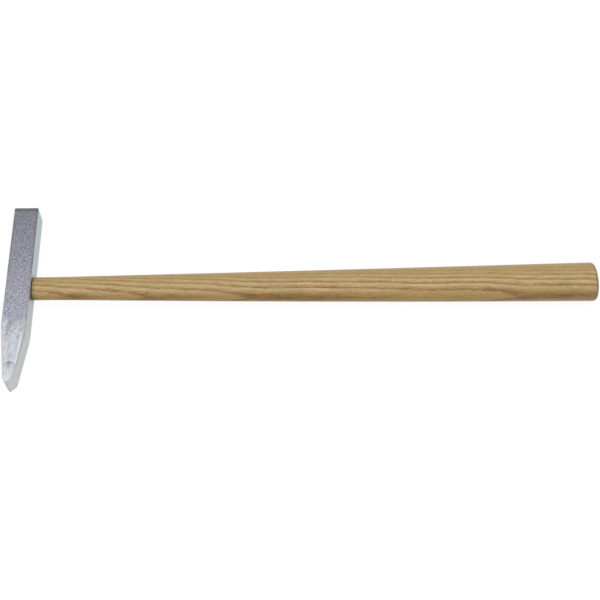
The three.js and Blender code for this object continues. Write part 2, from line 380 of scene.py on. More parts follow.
# %% Sizes of the handle
NECK_STRAIGHT = 18.0
SHOULDER_SEAT = 0.4  # flat that rests on the head, all round the eye
SHOULDER_ROUND = 0.6
BUTT_HEIGHT = 27.2
BUTT_ROUND = 2.6
SWELL = 0.2  # how much faster it swells at first
BOW = 0.55
NECK_HEIGHT = EYE_LENGTH + 2 * (SHOULDER_SEAT + SHOULDER_ROUND)
NECK_THICKNESS = EYE_WIDTH + 2 * (SHOULDER_SEAT + SHOULDER_ROUND)
TIGHT = 0.02  # the tenon fills the eye to within this
TENON_INSETS = (3.6, 2.4, 1.2, 0.5)  # rings that close the tenon's end
BUTT_INSETS = (4.0, 6.0, 8.0, 10.0)  # rings that close the butt
print(f"neck {NECK_HEIGHT:.1f} by {NECK_THICKNESS:.1f} mm")


def grip_ring(x, share, inset=0.0):
    """The handle's ring at x. Share is 0 where the swelling starts and 1 at the butt."""
    growth = share * (1 + SWELL * (1 - share))
    height = NECK_HEIGHT + (BUTT_HEIGHT - NECK_HEIGHT) * growth
    thickness = NECK_THICKNESS + (BUTT_THICKNESS - NECK_THICKNESS) * growth
    centre_y = -BOW * math.sin(math.pi * share)
    return oval_ring(x, height - 2 * inset, thickness - 2 * inset, centre_y)


def tenon_ring(x, inset=TIGHT):
    length, width = eye_size(x)
    return oval_ring(x, length - 2 * inset, width - 2 * inset)


# %% Rings of the handle
def handle_rings():
    rings = [tenon_ring(-HALF, inset) for inset in TENON_INSETS]
    rings += [tenon_ring(x) for x in np.linspace(-HALF + 0.15, HALF, 17)]
    for turn in np.linspace(0, math.pi / 2, 5):
        x = HALF + SHOULDER_ROUND * (1 - math.cos(turn))
        rings.append(grip_ring(x, 0, SHOULDER_ROUND * (1 - math.sin(turn))))
    swell_start = HALF + NECK_STRAIGHT
    round_start = HANDLE_REACH - BUTT_ROUND
    for x in np.arange(HALF + SHOULDER_ROUND + 1, swell_start, 1.5):
        rings.append(grip_ring(x, 0))
    for share in np.linspace(0, 1, 180):
        rings.append(grip_ring(swell_start + (round_start - swell_start) * share, share))
    for turn in np.linspace(0, math.pi / 2, 8)[1:]:
        x = round_start + BUTT_ROUND * math.sin(turn)
        rings.append(grip_ring(x, 1, BUTT_ROUND * (1 - math.cos(turn))))
    return rings + [grip_ring(HANDLE_REACH, 1, inset) for inset in BUTT_INSETS]


handle_points, handle_faces = loft(handle_rings())
handle = new_piece("ash_handle", handle_points, handle_faces)
print("handle:", len(handle_faces), "faces")

# %% [markdown]
# ## The wedges
#
# A beech wedge goes into a saw kerf along the oval, and a barbed steel wedge is driven
# slantwise across it. Only their ends show, on the head's outer face, but both are whole.

# %% Sizes of the wedges
KERF_STOP = 2.4  # the kerf stops this far short of the head's inner side
TIP_GAP = 0.3  # and the beech wedge this far short of its end
WOOD_LENGTH = BAR - KERF_STOP - TIP_GAP
WOOD_HEAD = 2.6
WOOD_TIP = 0.9
WOOD_WIDTH = 17.0  # before it is trimmed to the eye
WOOD_UNDER_STEEL = 3.0
STEEL_LENGTH = WOOD_LENGTH - WOOD_UNDER_STEEL
STEEL_WIDTH = 8.0
STEEL_HEAD = 2.0
STEEL_TIP = 0.6
STEEL_TURN = math.radians(45)
BARBS = 3
BARB_HEIGHT = 0.25
BARB_STEP = 0.05  # each barb rises over this length
BARB_RUN = 0.7  # and falls over this share of the distance to the next
KERF_WIDTH = 24.0  # through the whole tenon
OVERRUN = 2.0  # cutters reach this far past the outer face
print(f"beech wedge {WOOD_LENGTH:.1f} mm long, steel wedge {STEEL_LENGTH:.1f} mm")


def slab(name, outline, width, turn):
    """An outline in side view, as (x, z) points, pushed out to a width and turned about X."""
    places = np.linspace(-width / 2, width / 2, 9)
    points, faces = loft([np.array([(x, y, z) for x, z in outline]) for y in places])
    turned = points @ np.array(Matrix.Rotation(turn, 3, "X")).T
    return new_piece(name, turned, [face[::-1] for face in faces])


def wedge_outline(length, head, tip, slack=0.0, overrun=0.0):
    """A plain wedge in side view, driven in from the outer face."""
    slope = (head - tip) / 2 / length
    back = head / 2 + slack + slope * overrun
    front = tip / 2 + slack
    end = -HALF + length + slack
    return [(-HALF - overrun, -back), (end, -front), (end, front), (-HALF - overrun, back)]


def barbed_outline():
    """The steel wedge in side view, with saw teeth on both faces."""
    pitch = STEEL_LENGTH / (BARBS + 0.5)

    def half(depth):
        return (STEEL_HEAD + (STEEL_TIP - STEEL_HEAD) * depth / STEEL_LENGTH) / 2

    upper = [(0, half(0))]
    for i in range(BARBS):
        start = (i + 0.5) * pitch
        end = start + BARB_RUN * pitch
        upper.append((start, half(start)))
        upper.append((start + BARB_STEP, half(start) + BARB_HEIGHT))
        upper.append((end, half(end)))
    upper.append((STEEL_LENGTH, half(STEEL_LENGTH)))
    lower = [(x, -z) for x, z in upper]
    return [(x - HALF, z) for x, z in lower + upper[::-1]]


def room_for_steel():
    """A cutter for the steel wedge's space."""
    outline = wedge_outline(STEEL_LENGTH, STEEL_HEAD, STEEL_TIP, TIGHT, OVERRUN)
    return slab("room", outline, STEEL_WIDTH + 2 * TIGHT, STEEL_TURN)


kerf_outline = wedge_outline(WOOD_LENGTH, WOOD_HEAD, WOOD_TIP, TIGHT, OVERRUN)
cut_away(handle, slab("kerf", kerf_outline, KERF_WIDTH, 0))
cut_away(handle, room_for_steel())
soften(handle)
print("handle with its kerf:", len(handle.data.polygons), "faces")

# %% Make the wedges
beech_wedge = slab("beech_wedge", wedge_outline(WOOD_LENGTH, WOOD_HEAD, WOOD_TIP), WOOD_WIDTH, 0)
tenon_space = loft([tenon_ring(x) for x in (-HALF - OVERRUN, -HALF, 0, HALF + OVERRUN)])
cut_away(beech_wedge, new_piece("tenon_space", *tenon_space), keep_inside=True)
cut_away(beech_wedge, room_for_steel())
steel_wedge = slab("steel_wedge_barbed", barbed_outline(), STEEL_WIDTH, STEEL_TURN)
for piece in (beech_wedge, steel_wedge):
    soften(piece)
    print(piece.name, len(piece.data.polygons), "faces")

# %% [markdown]
# ## Wiring materials in code
#
# A material is a small graph of nodes. The helper below adds nodes and joins them. Wherever
# it takes a value, that may be a number, a colour or the output of another node, so each
# recipe further down stays close to how one would say it aloud.

# %% Helpers for node graphs
def colour(red, green, blue):
    """A screen colour, 0 to 255, as the light values that shaders work in."""
    def light(v):
        v /= 255
        return v / 12.92 if v <= 0.04045 else ((v + 0.055) / 1.055) ** 2.4
    return (light(red), light(green), light(blue), 1.0)


class Wiring:
    """Adds nodes to one node tree."""

    def __init__(self, tree):
        self.tree = tree

    def feed(self, socket, value):
        if isinstance(value, bpy.types.NodeSocket):
            self.tree.links.new(value, socket)
        else:
            socket.default_value = value

    def add(self, kind, **settings):
        node = self.tree.nodes.new(kind)
        for name, value in settings.items():
            setattr(node, name, value)
        return node

    def fill(self, node, *values, **named):
        """Feeds a node's inputs in order, or by name with underscores for spaces."""
        for socket, value in zip(node.inputs, values):
            self.feed(socket, value)
        for name, value in named.items():
            self.feed(node.inputs[name.replace("_", " ")], value)
        return node.outputs

    def maths(self, operation, *values, clamp=False):
        node = self.add("ShaderNodeMath", operation=operation, use_clamp=clamp)
        return self.fill(node, *values)[0]

    def times(self, first, second):
        return self.maths("MULTIPLY", first, second)

    def minus(self, first, second):
        return self.maths("SUBTRACT", first, second)

    def times_plus(self, first, second, added):
        return self.maths("MULTIPLY_ADD", first, second, added)

    def vector(self, operation, *values):
        node = self.add("ShaderNodeVectorMath", operation=operation)
        wanted = "Value" if operation in ("DOT_PRODUCT", "LENGTH") else "Vector"
        return self.fill(node, *values)[wanted]

    def noise(self, vector, scale=1.0, detail=2.0, roughness=0.5):
        node = self.add("ShaderNodeTexNoise")
        return self.fill(node, Vector=vector, Scale=scale, Detail=detail, Roughness=roughness)[0]

    def turn(self, vector, degrees):
        """The vector seen from axes turned by these angles."""
        node = self.add("ShaderNodeMapping", vector_type="TEXTURE")
        return self.fill(node, Vector=vector, Rotation=[math.radians(a) for a in degrees])[0]

    def between(self, value, low, high, out_low=0.0, out_high=1.0):
        """A smooth step: out_low below low, out_high above high."""
        node = self.add("ShaderNodeMapRange", interpolation_type="SMOOTHSTEP")
        return self.fill(node, value, low, high, out_low, out_high)[0]

    def mix(self, share, first, second, blend="MIX"):
        node = self.add("ShaderNodeMix", data_type="RGBA", blend_type=blend)
        for index, value in ((0, share), (6, first), (7, second)):  # those for colours
            self.feed(node.inputs[index], value)
        return node.outputs[2]

    def tint(self, base, tint, mask=1.0):
        """The base times a colour, as far as the mask says."""
        return self.mix(mask, base, tint, "MULTIPLY")

    def shade(self, base, amount):
        """The base times a grey value."""
        return self.tint(base, amount)

    def ramp(self, value, stops):
        node = self.add("ShaderNodeValToRGB")
        elements = node.color_ramp.elements
        while len(elements) < len(stops):
            elements.new(0.5)
        for element, (place, shade) in zip(elements, stops):
            element.position = place
            element.color = shade
        return self.fill(node, value)[0]

    def parts(self, vector):
        return self.fill(self.add("ShaderNodeSeparateXYZ"), vector)

    def facing(self):
        """Which way the surface faces, along X, Y and Z."""
        return self.parts(self.add("ShaderNodeTexCoord").outputs["Normal"])

    def join(self, x, y, z):
        return self.fill(self.add("ShaderNodeCombineXYZ"), x, y, z)[0]

    def use(self, group, **inputs):
        return self.fill(self.add("ShaderNodeGroup", node_tree=group), **inputs)

    def bump(self, height, depth):
        """A bump of the given depth in millimetres."""
        node = self.add("ShaderNodeBump")
        return self.fill(node, Strength=1.0, Distance=depth * MM, Height=height)[0]


def new_group(name, inputs, outputs):
    """An empty node group. Sockets are (name, kind, default); kind is Float, Color or Vector."""
    tree = bpy.data.node_groups.new(name, "ShaderNodeTree")
    for direction, sockets in (("INPUT", inputs), ("OUTPUT", outputs)):
        for socket_name, kind, *default in sockets:
            socket = tree.interface.new_socket(
                name=socket_name, in_out=direction, socket_type="NodeSocket" + kind)
            if default:
                socket.default_value = default[0]
    entry = tree.nodes.new("NodeGroupInput")
    leave = tree.nodes.new("NodeGroupOutput")
    return tree, Wiring(tree), entry.outputs, leave.inputs


def new_material(name):
    """A material with its principled shader."""
    material = bpy.data.materials.new(name)
    material.use_nodes = True
    wiring = Wiring(material.node_tree)
    shader = material.node_tree.nodes["Principled BSDF"]
    return material, wiring, shader


# %% [markdown]
# ## Effects that several finishes share
#
# Wood and ground steel look different, but both are streaks: fibres in one, the scratches of a
# wheel in the other. So a few effects are built once as node groups, and each material uses
# them with its own values. The first gives a point's place in millimetres from the eye.

# %% Group: place in millimetres
place_group, w, _, out = new_group("Place in millimetres", [], [("Place", "Vector")])
here = w.add("ShaderNodeTexCoord").outputs["Object"]
about_eye = w.vector("SUBTRACT", here, tuple(eye))
w.feed(out["Place"], w.vector("MULTIPLY", about_eye, (1 / MM, 1 / MM, 1 / MM)))

# %% [markdown]
# Streaks are noise stretched along X. Turning the place before it goes in turns the streaks.

# %% Group: streaks
streaks_group, w, given, out = new_group(
    "Streaks",
    [("Place", "Vector"), ("Length", "Float", 10.0), ("Width", "Float", 0.4)],
    [("Height", "Float")])
along = w.maths("DIVIDE", 1.0, given["Length"])
across = w.maths("DIVIDE", 1.0, given["Width"])
stretched = w.vector("MULTIPLY", given["Place"], w.join(along, across, across))
w.feed(out["Height"], w.noise(stretched, detail=3, roughness=0.6))

# %% [markdown]
# Blotches are soft uneven patches: stain, handling, thin and thick lacquer.

# %% Group: blotches
blotch_group, w, given, out = new_group(
    "Blotches",
    [("Place", "Vector"), ("Size", "Float", 10.0), ("Low", "Float", 0.0), ("High", "Float", 1.0)],
    [("Amount", "Float")])
spots = w.noise(w.vector("DIVIDE", given["Place"], given["Size"]), detail=3, roughness=0.55)
w.feed(out["Amount"], w.between(spots, 0.35, 0.65, given["Low"], given["High"]))

# %% [markdown]
# Growth rings are shells round the heart of the tree. In a stick as thin as a handle they are
# almost flat layers, so the depth of a point in the trunk is its distance along one direction,
# plus a little for the curve of the shells. The stick was not sawn quite along the tree, so
# the layers drift across it. A layer's boundary follows the fibres, which is what gives ash
# its ragged, stepped lines.

# %% Group: growth rings
ring_group, w, given, out = new_group(
    "Growth rings",
    [("Place", "Vector"), ("Outward", "Vector", (0, 0, 1)), ("Sideways", "Vector", (0, 1, 0)),
     ("Curve", "Float", 0.015), ("Width", "Float", 3.0), ("Start", "Float", 0.0),
     ("Bend", "Float", 0.0), ("Fibre", "Float", 0.5), ("Ragged", "Float", 0.5)],
    [("Ring", "Float")])
depth = w.vector("DOT_PRODUCT", given["Place"], given["Outward"])
aside = w.vector("DOT_PRODUCT", given["Place"], given["Sideways"])
depth = w.times_plus(w.times(aside, aside), w.times(given["Curve"], 0.5), depth)
depth = w.maths("ADD", depth, given["Bend"])
depth = w.times_plus(w.minus(given["Fibre"], 0.5), given["Ragged"], depth)
count = w.maths("ADD", w.maths("DIVIDE", depth, given["Width"]), given["Start"])
w.feed(out["Ring"], w.maths("FRACT", count))


# %% Placing the groups
def streaks(w, place, length, width):
    return w.use(streaks_group, Place=place, Length=length, Width=width)["Height"]


def blotches(w, place, size, low=0.0, high=1.0):
    return w.use(blotch_group, Place=place, Size=size, Low=low, High=high)["Amount"]


for group in (place_group, streaks_group, blotch_group, ring_group):
    print("group:", group.name, len(group.nodes), "nodes")

# %% [markdown]
# ## The ash of the handle
#
# Ash is ring-porous: each spring it lays down a band of wide vessels, which shows as a sharp
# dark line that fades towards the denser, paler summer wood. Cut along, the vessels are fine
# dashes; on the butt they are dots. Both come from the same solid pattern, as in real wood.
# A thin coat of oil leaves a low sheen.

# %% How the layers lie in this handle
LEAN = math.radians(24)  # the layers' tilt about the handle
DRIFT = 0.047  # how far they drift across it per unit of length
RING_WIDTH = 3.15
RING_START = 0.33  # where in a ring the middle of the eye lies
KINKS = 0.9  # height of the short bends
FRAY = 3.2  # how far the fibres fray a boundary
WAVES = ((-1.74, 436, 2.31), (-0.35, 210, 0.95), (-0.28, 92, 0.18), (0.17, 59, -1.92))


def slow_waves(w, x):
    """The sum of a few long waves along the handle, as (height, length, shift)."""
    total = 0.0
    for height, length, shift in WAVES:
        wave = w.maths("SINE", w.times_plus(x, 2 * math.pi / length, shift))
        total = w.times_plus(wave, height, total)
    return total


def ash_ring(w, place, fibre, fine):
    """The place within a growth ring: 0 at its dark spring edge, 1 at the next."""
    kink = w.noise(w.vector("MULTIPLY", place, (0.13, 0.4, 0.4)), detail=1)
    waves = w.minus(slow_waves(w, w.parts(place)[0]), KINKS / 2)
    return w.use(
        ring_group, Place=place, Outward=(DRIFT, math.cos(LEAN), -math.sin(LEAN)),
        Sideways=(0, math.sin(LEAN), math.cos(LEAN)), Width=RING_WIDTH, Start=RING_START,
        Bend=w.times_plus(kink, KINKS, waves),
        Fibre=w.times_plus(fine, 0.35, w.times(fibre, 0.65)), Ragged=FRAY)["Ring"]


# %% [markdown]
# The wood's own colour is built in three steps. A ramp across the ring gives the dark spring
# edge, and it fades in places, most on the poll's side, where the layers are cut at a low
# angle. A fine mottle follows the fibres. The open vessels are dark dashes in the spring wood.

# %% Colour: rings, fibres and vessels
ACROSS_RING = (
    (0.0, colour(124, 84, 22)), (0.08, colour(140, 102, 36)), (0.22, colour(163, 129, 68)),
    (0.38, colour(183, 155, 99)), (0.75, colour(203, 178, 125)), (0.94, colour(193, 167, 112)),
    (1.0, colour(148, 110, 46)))
FADED_RING = colour(186, 159, 106)
VESSEL = colour(112, 76, 26)


def ash_rings(w, place, ring):
    faded = blotches(w, w.vector("MULTIPLY", place, (0.15, 1, 1)), 2.5, 0.55, 1.0)
    faded = w.times(faded, w.between(w.parts(place)[1], -3.5, 3.5, 0.95, 0.38))
    return w.mix(faded, FADED_RING, w.ramp(ring, ACROSS_RING))


def ash_mottle(w, place, fibre, fine):
    mottle = blotches(w, w.vector("MULTIPLY", place, (0.55, 1, 1)), 0.9, 0.905, 1.045)
    mottle = w.times(mottle, w.between(fibre, 0.3, 0.7, 0.90, 1.08))
    return w.times(mottle, w.between(fine, 0.3, 0.7, 0.88, 1.10))


def ash_vessels(w, place, ring):
    """A mask of the open vessels."""
    dashes = streaks(w, w.vector("ADD", place, (7, 3, 5)), 4.0, 0.24)
    return w.times(w.between(dashes, 0.55, 0.66), w.between(ring, 0.02, 0.45, 1.0, 0.15))


# %% [markdown]
# The handle's colour also changes round it. The poll's side is made yellower and darker. The
# chisel's side, which faces away from the overhead lamp, is painted browner and darker as
# shade, and the paler, pinker patches between them are a painted sheen. Oil and dirt have gone
# into the end grain, and the neck beside the head is painted darker as the shade where it meets
# the head. Each is a tint with its own mask, made from the way the surface faces or from the
# place along the handle.

# %% Colour: tints and painted light of the handle
WARM_PATCHES = ((0.98, 1.0, 0.93, 1), (1.03, 0.97, 0.98, 1))
# painted shade of the chisel's side, which faces away from the overhead lamp
CHISEL_SIDE_SHADE = (0.90, 0.79, 0.60, 1)
# painted sheen: paler, pinker patches between the poll's and the chisel's side
PAINTED_SHEEN = (1.13, 1.09, 1.26, 1)
POLL_SIDE = (0.865, 0.83, 0.69, 1)
END_GRAIN = (0.42, 0.41, 0.34, 1)
# painted shade of the neck where it meets the head
NECK_SHADE = (0.48, 0.61, 0.58, 1)


def tint_sides_with_painted_light(w, base, patches):
    toward_poll = w.facing()[1]
    # painted shade: the chisel's side is tinted browner and darker
    base = w.tint(base, CHISEL_SIDE_SHADE, w.between(toward_poll, -0.40, -0.88))
    # painted sheen: paler, pinker patches between the two sides
    band = w.times(w.between(toward_poll, -0.15, -0.35), w.between(toward_poll, -0.72, -0.45))
    base = w.tint(base, PAINTED_SHEEN, w.times(band, patches))
    return w.tint(base, POLL_SIDE, w.between(toward_poll, -0.1, 0.45))


def tint_end_grain_and_neck_shade(w, base, place):
    end_grain = w.between(w.maths("ABSOLUTE", w.facing()[0]), 0.04, 0.42)
    base = w.tint(base, END_GRAIN, w.times(end_grain, 0.8))
    # painted shade: the neck is darkened next to the head
    neck = w.between(w.parts(place)[0], HALF + 3.6, HALF + 0.8)
    return w.tint(base, NECK_SHADE, w.times(neck, 0.6))


# %% Material: ash
def make_ash():
    material, w, shader = new_material("ash")
    place = w.use(place_group)["Place"]
    fibre = streaks(w, place, 12.0, 0.6)
    fine = streaks(w, place, 2.8, 0.26)
    ring = ash_ring(w, place, fibre, fine)
    vessels = ash_vessels(w, place, ring)
    patches = blotches(w, w.vector("MULTIPLY", place, (0.25, 1, 1)), 5.0)

    base = w.shade(ash_rings(w, place, ring), ash_mottle(w, place, fibre, fine))
    base = w.tint(base, w.mix(patches, *WARM_PATCHES))
    base = w.mix(w.times(vessels, 0.6), base, VESSEL)
    base = tint_end_grain_and_neck_shade(w, tint_sides_with_painted_light(w, base, patches), place)
    w.fill(shader, Base_Color=base, Roughness=w.between(fibre, 0.3, 0.7, 0.4, 0.52),
           Normal=w.bump(w.minus(w.times(fine, 0.35), vessels), 0.05),
           Coat_Weight=0.3, Coat_Roughness=0.22)
    return material


def dress(piece, material):
    """Gives the whole piece one material."""
    piece.data.materials.clear()
    piece.data.materials.append(material)
    print(piece.name, "is now", material.name)


dress(handle, make_ash())


# %% [markdown]
# ## The beech of the wedge
#
# Beech is plainer than ash: pinkish brown, close-grained, with short dark flecks. Only its
# sawn end shows, so the flecks are dots there.

# %% Material: beech
def make_beech():
    material, w, shader = new_material("beech")
    place = w.use(place_group)["Place"]
    fibre = streaks(w, place, 2.5, 0.14)
    ring = w.use(ring_group, Place=place, Outward=(0.1, 0.3, 0.95), Width=1.4, Start=0.1,
                 Fibre=fibre, Ragged=0.5)["Ring"]
    base = w.ramp(ring, [
        (0.0, colour(190, 146, 104)), (0.8, colour(176, 130, 88)), (1.0, colour(150, 106, 68))])
    w.fill(shader, Base_Color=w.shade(base, w.between(fibre, 0.3, 0.7, 0.82, 1.1)),
           Roughness=0.7, Normal=w.bump(fibre, 0.06))
    return material


dress(beech_wedge, make_beech())


# %% [markdown]
# ## The head's finish
#
# The head wears two finishes. From the poll to the shoulder it is sprayed with a thin silver
# lacquer over a pebbled skin, darker in a band by the poll and lighter towards the blade, with
# painted shade along the long edges and on the cut corners. The sides were rolled smooth first,
# so there the lacquer looks like satin, and their light, bluish colour is partly a painted
# reflection of the white studio. From the shoulder to the edge the grinder has left bright
# steel with slanting strokes. Two materials would meet along mesh edges. One material with
# masks suits better here, because the border is ragged and follows the strokes.
#
# A mask is 1 where something is and 0 elsewhere. The first ones come from which way the
# surface faces. They are kept together with the place of the point, since all the recipes of
# the head ask for them.

# %% Masks: the faces of the head
def known_points(w):
    """Place of each point, and masks of sides, cheeks, bevels, poll, corners and inner side."""
    place = w.use(place_group)["Place"]
    x, y, z = w.parts(place)
    facing = w.facing()
    side = w.between(w.maths("ABSOLUTE", facing[0]), 0.86, 0.95)
    cheek = w.between(w.maths("ABSOLUTE", facing[2]), 0.86, 0.96)
    bevel = w.between(facing[1], -0.3, -0.5)
    poll = w.between(facing[1], 0.9, 0.97)
    flat = w.maths("ADD", side, cheek)
    ends = w.maths("ADD", bevel, poll)
    corner = w.maths("SUBTRACT", 1.0, w.maths("ADD", flat, ends), clamp=True)
    return SimpleNamespace(place=place, x=x, y=y, z=z, side=side, cheek=cheek, bevel=bevel,
                           poll=poll, corner=corner, inner=w.between(facing[0], -0.2, 0.2))


# %% [markdown]
# The border of the ground zone wanders. On the cheek it reaches up along the outer edge, then
# leaves a slanting tongue of lacquer, and the strokes fray it. On the sides it is a plain
# line at the shoulder. The poll is ground too.

# %% Mask: where the grinder has been
STROKE_TURN = 62  # degrees between the wheel's strokes and the handle
TONGUE_SLANT = -0.22  # the tongue of lacquer leans by this much per unit of length
TONGUE_TIP_Y = SHOULDER_Y - 1.5
RAGGED = 5.0  # how far noise moves the border, in millimetres
FRAYED = 6.0  # how far the strokes move it


def ground_mask(w, at, stroke):
    slant = w.times_plus(w.minus(at.y, TONGUE_TIP_Y), TONGUE_SLANT, at.x)
    border = w.between(slant, -5.8, -4.4, SHOULDER_Y + 7.6, SHOULDER_Y - 2.0)
    border = w.maths("ADD", border, w.between(slant, -3.8, 0.0, 0.0, 7.0))
    border = w.times_plus(w.minus(w.noise(at.place, 0.3, 3, 0.6), 0.5), RAGGED, border)
    border = w.times_plus(w.minus(stroke, 0.5), FRAYED, border)
    straight = w.times(SHOULDER_Y + 2.0, w.minus(1.0, at.cheek))
    border = w.times_plus(border, at.cheek, straight)
    return w.maths("MAXIMUM", w.between(w.minus(border, at.y), -2.8, 2.4), at.poll)


# %% [markdown]
# The lacquer's pebbles are two sizes of noise. It is darker in a band near the poll and lighter
# towards the blade, painted shade darkens it along the long edges, and a few pebbles glint.
# The cut corners are painted darker still as shade, lighter in patches and from the eye
# towards the blade.

# %% Colour: lacquer
PEBBLES = ((0.34, colour(112, 112, 125)), (0.5, colour(147, 147, 159)), (0.66, colour(190, 190, 202)))
GLINT = colour(236, 236, 242)
NEAR_POLL = (0.66, 0.65, 0.60, 1)
# satin lacquer of the sides, lighter and bluer as a partly painted reflection of the white studio
SATIN_AND_REFLECTION = ((0.0, colour(176, 191, 197)), (1.0, colour(186, 193, 191)))
# painted shade and brown reflection of the handle on the head's sides
HANDLE_SHADE_AND_REFLECTION = colour(150, 142, 104)
# painted shade of the cut corners, and the lighter lacquer it fades to
CORNER_SHADE_TO_LACQUER = (colour(84, 84, 92), colour(160, 160, 172))


def pebble_height(w, place):
    """The height of the pebbled skin, and of its larger pebbles alone."""
    small = w.noise(place, 0.75, 3, 0.65)
    large = w.noise(w.vector("ADD", place, (31, 7, 3)), 1.6, 2, 0.5)
    return w.times_plus(large, 0.4, w.times(small, 0.6)), large


def cheek_lacquer(w, at, pebble, large):
    # painted shade: the cheek is darkened along its long edges, mostly towards the poll
    edge_shade = w.between(w.maths("ABSOLUTE", at.x), HALF - 2.4, HALF - 0.4)
    edge_shade = w.times(edge_shade, w.between(at.y, -20.0, 5.0))
    lacquer_lightness = w.between(at.y, POLL_REACH, SHOULDER_Y, 0.80, 1.36)
    lacquer_lightness = w.times(lacquer_lightness, w.times_plus(edge_shade, -0.16, 1.0))
    near_poll = w.times_plus(w.minus(large, 0.5), 4.0, at.y)
    near_poll = w.between(near_poll, POLL_REACH - 3.4, POLL_REACH - 2.2)
    lacquer = w.tint(w.shade(w.ramp(pebble, PEBBLES), lacquer_lightness), NEAR_POLL, near_poll)
    glint = w.between(w.noise(w.vector("ADD", at.place, (5, 17, 2)), 0.9, 1, 0.5), 0.70, 0.76)
    return w.mix(w.times(glint, 0.6), lacquer, GLINT)


def side_lacquer(w, at):
    """The satin lacquer of the sides, with the handle's shade and brown reflection painted round the
    handle.
    """
    cloud = blotches(w, at.place, 3.0, 0.97, 1.02)
    cloud = w.times(cloud, w.between(at.long_lines, 0.3, 0.7, 0.95, 1.03))
    # the satin colour is partly a painted reflection of the white studio
    satin = w.shade(w.ramp(w.between(at.y, 45.0, -20.0), SATIN_AND_REFLECTION), cloud)
    # painted shade and reflection: a brownish ring on the side round the handle
    from_neck = w.join(0.0, w.times(at.y, 2 / NECK_HEIGHT), w.times(at.z, 2 / NECK_THICKNESS))
    handle_shade = w.between(w.vector("LENGTH", from_neck), 1.45, 1.02)
    return w.mix(w.times(handle_shade, 0.55), satin, HANDLE_SHADE_AND_REFLECTION)


def lacquer_colour(w, at, pebble, large):
    lacquer = w.mix(at.side, cheek_lacquer(w, at, pebble, large), side_lacquer(w, at))
    # painted shade: the cut corners are dark, lighter in patches and from the eye towards the blade
    less_corner_shade = blotches(w, at.place, 1.3, 0.0, 0.45)
    less_corner_shade = w.maths("MAXIMUM", less_corner_shade, w.between(at.y, 12.0, 2.0))
    return w.mix(at.corner, lacquer, w.mix(less_corner_shade, *CORNER_SHADE_TO_LACQUER))


# %% [markdown]
# Ground steel is drawn from lines too. On the cheeks the strokes are deep near the shoulder
# and finer below. In the hollow they run lengthwise, under a dark lip where the wheel bit in,
# and the steel is brightest just above the bevels. The sides carry fine lines along the head,
# the poll slanting ones.

# %% Lines: ground steel
ARCH = 0.22  # how fast the hollow's top falls away from the middle


def hollow_depth(w, at):
    """How far below the arched top of the hollow a point is, in millimetres."""
    return w.minus(w.times_plus(w.times(at.x, at.x), -ARCH, HOLLOW_TOP_Y), at.y)


def cheek_strokes(w, at, stroke):
    """The lines on the cheeks, as a height."""
    fine = streaks(w, w.turn(at.place, (0, 0, 58)), 3.0, 0.3)
    steep = streaks(w, w.turn(at.place, (0, 0, 78)), 6.0, 1.1)
    lengthwise = streaks(w, w.turn(at.place, (0, 0, 88)), 7.0, 0.42)
    strokes = w.times_plus(fine, 0.35, w.times(stroke, 0.65))
    deep = w.between(at.y, SHOULDER_Y - 12.0, SHOULDER_Y + 1.0, 0.5, 1.5)
    strokes = w.times_plus(w.minus(strokes, 0.55), deep, 0.55)
    strokes = w.times_plus(w.minus(steep, 0.5), 0.42, strokes)
    return w.times_plus(lengthwise, at.hollow, w.times(strokes, w.minus(1.0, at.hollow)))


# %% Colour: ground steel
CHEEK_STEEL = (
    (0.28, colour(134, 138, 150)), (0.41, colour(200, 203, 214)),
    (0.53, colour(229, 231, 239)), (0.66, colour(250, 253, 255)))
HOLLOW_SHADE = colour(168, 160, 166)
HOLLOW_STREAK = colour(172, 160, 170)
LIP_SHADE = colour(96, 96, 108)
SIDE_STEEL = ((0.3, colour(174, 179, 179)), (0.7, colour(193, 197, 197)))
POLL_STEEL = ((0.3, colour(160, 165, 166)), (0.7, colour(200, 204, 205)))
WORN_EDGE = colour(130, 140, 142)


def cheek_steel(w, at):
    """The steel of the cheeks, with the hollow's shade, streaks and lip."""
    off_middle = w.maths("ABSOLUTE", at.x)
    shaded = w.times(w.between(at.depth, 6.5, 0.4), w.between(off_middle, 1.8, 0.3))
    shaded = w.times(shaded, w.times(at.hollow, 0.5))
    steel = w.mix(shaded, w.ramp(at.lines, CHEEK_STEEL), HOLLOW_SHADE)
    streaky = w.times(w.between(at.lines, 0.52, 0.40), w.times(at.hollow, 0.4))
    steel = w.mix(streaky, steel, HOLLOW_STREAK)
    bright = w.between(at.y, BEVEL_Y + 7.5, BEVEL_Y + 3.5)
    steel = w.mix(w.times(bright, 0.35), steel, colour(255, 250, 255))
    bright = w.between(at.y, BEVEL_Y + 2.5, BEVEL_Y - 0.5)
    steel = w.mix(w.times(bright, 0.6), steel, colour(250, 255, 253))
    lip = w.times(w.between(w.maths("ABSOLUTE", at.depth), 0.6, 0.1), at.cheek)
    lip = w.times(lip, w.between(off_middle, 3.8, 1.6, 0.25, 0.6))
    return w.mix(lip, steel, LIP_SHADE)


def side_steel(w, at):
    """The steel of the sides, the bevels and the poll."""
    steel = w.ramp(at.long_lines, SIDE_STEEL)
    warm = w.times(w.between(at.y, BEVEL_Y + 5.0, BEVEL_Y), w.between(at.z, HALF / 2, 0.0))
    steel = w.mix(w.times(warm, 0.6), steel, colour(204, 192, 192))
    facet = w.mix(at.inner, colour(188, 194, 191), colour(189, 199, 204))
    warm = w.times(w.between(at.x, 1.4, 2.4), w.between(at.z, 5.0, -3.0))
    facet = w.mix(w.times(warm, 0.8), facet, colour(196, 188, 187))
    steel = w.mix(w.times(at.bevel, 0.9), steel, facet)
    poll_lines = streaks(w, w.turn(at.place, (0, 20, 0)), 7.0, 0.4)
    return w.mix(at.poll, steel, w.ramp(poll_lines, POLL_STEEL))


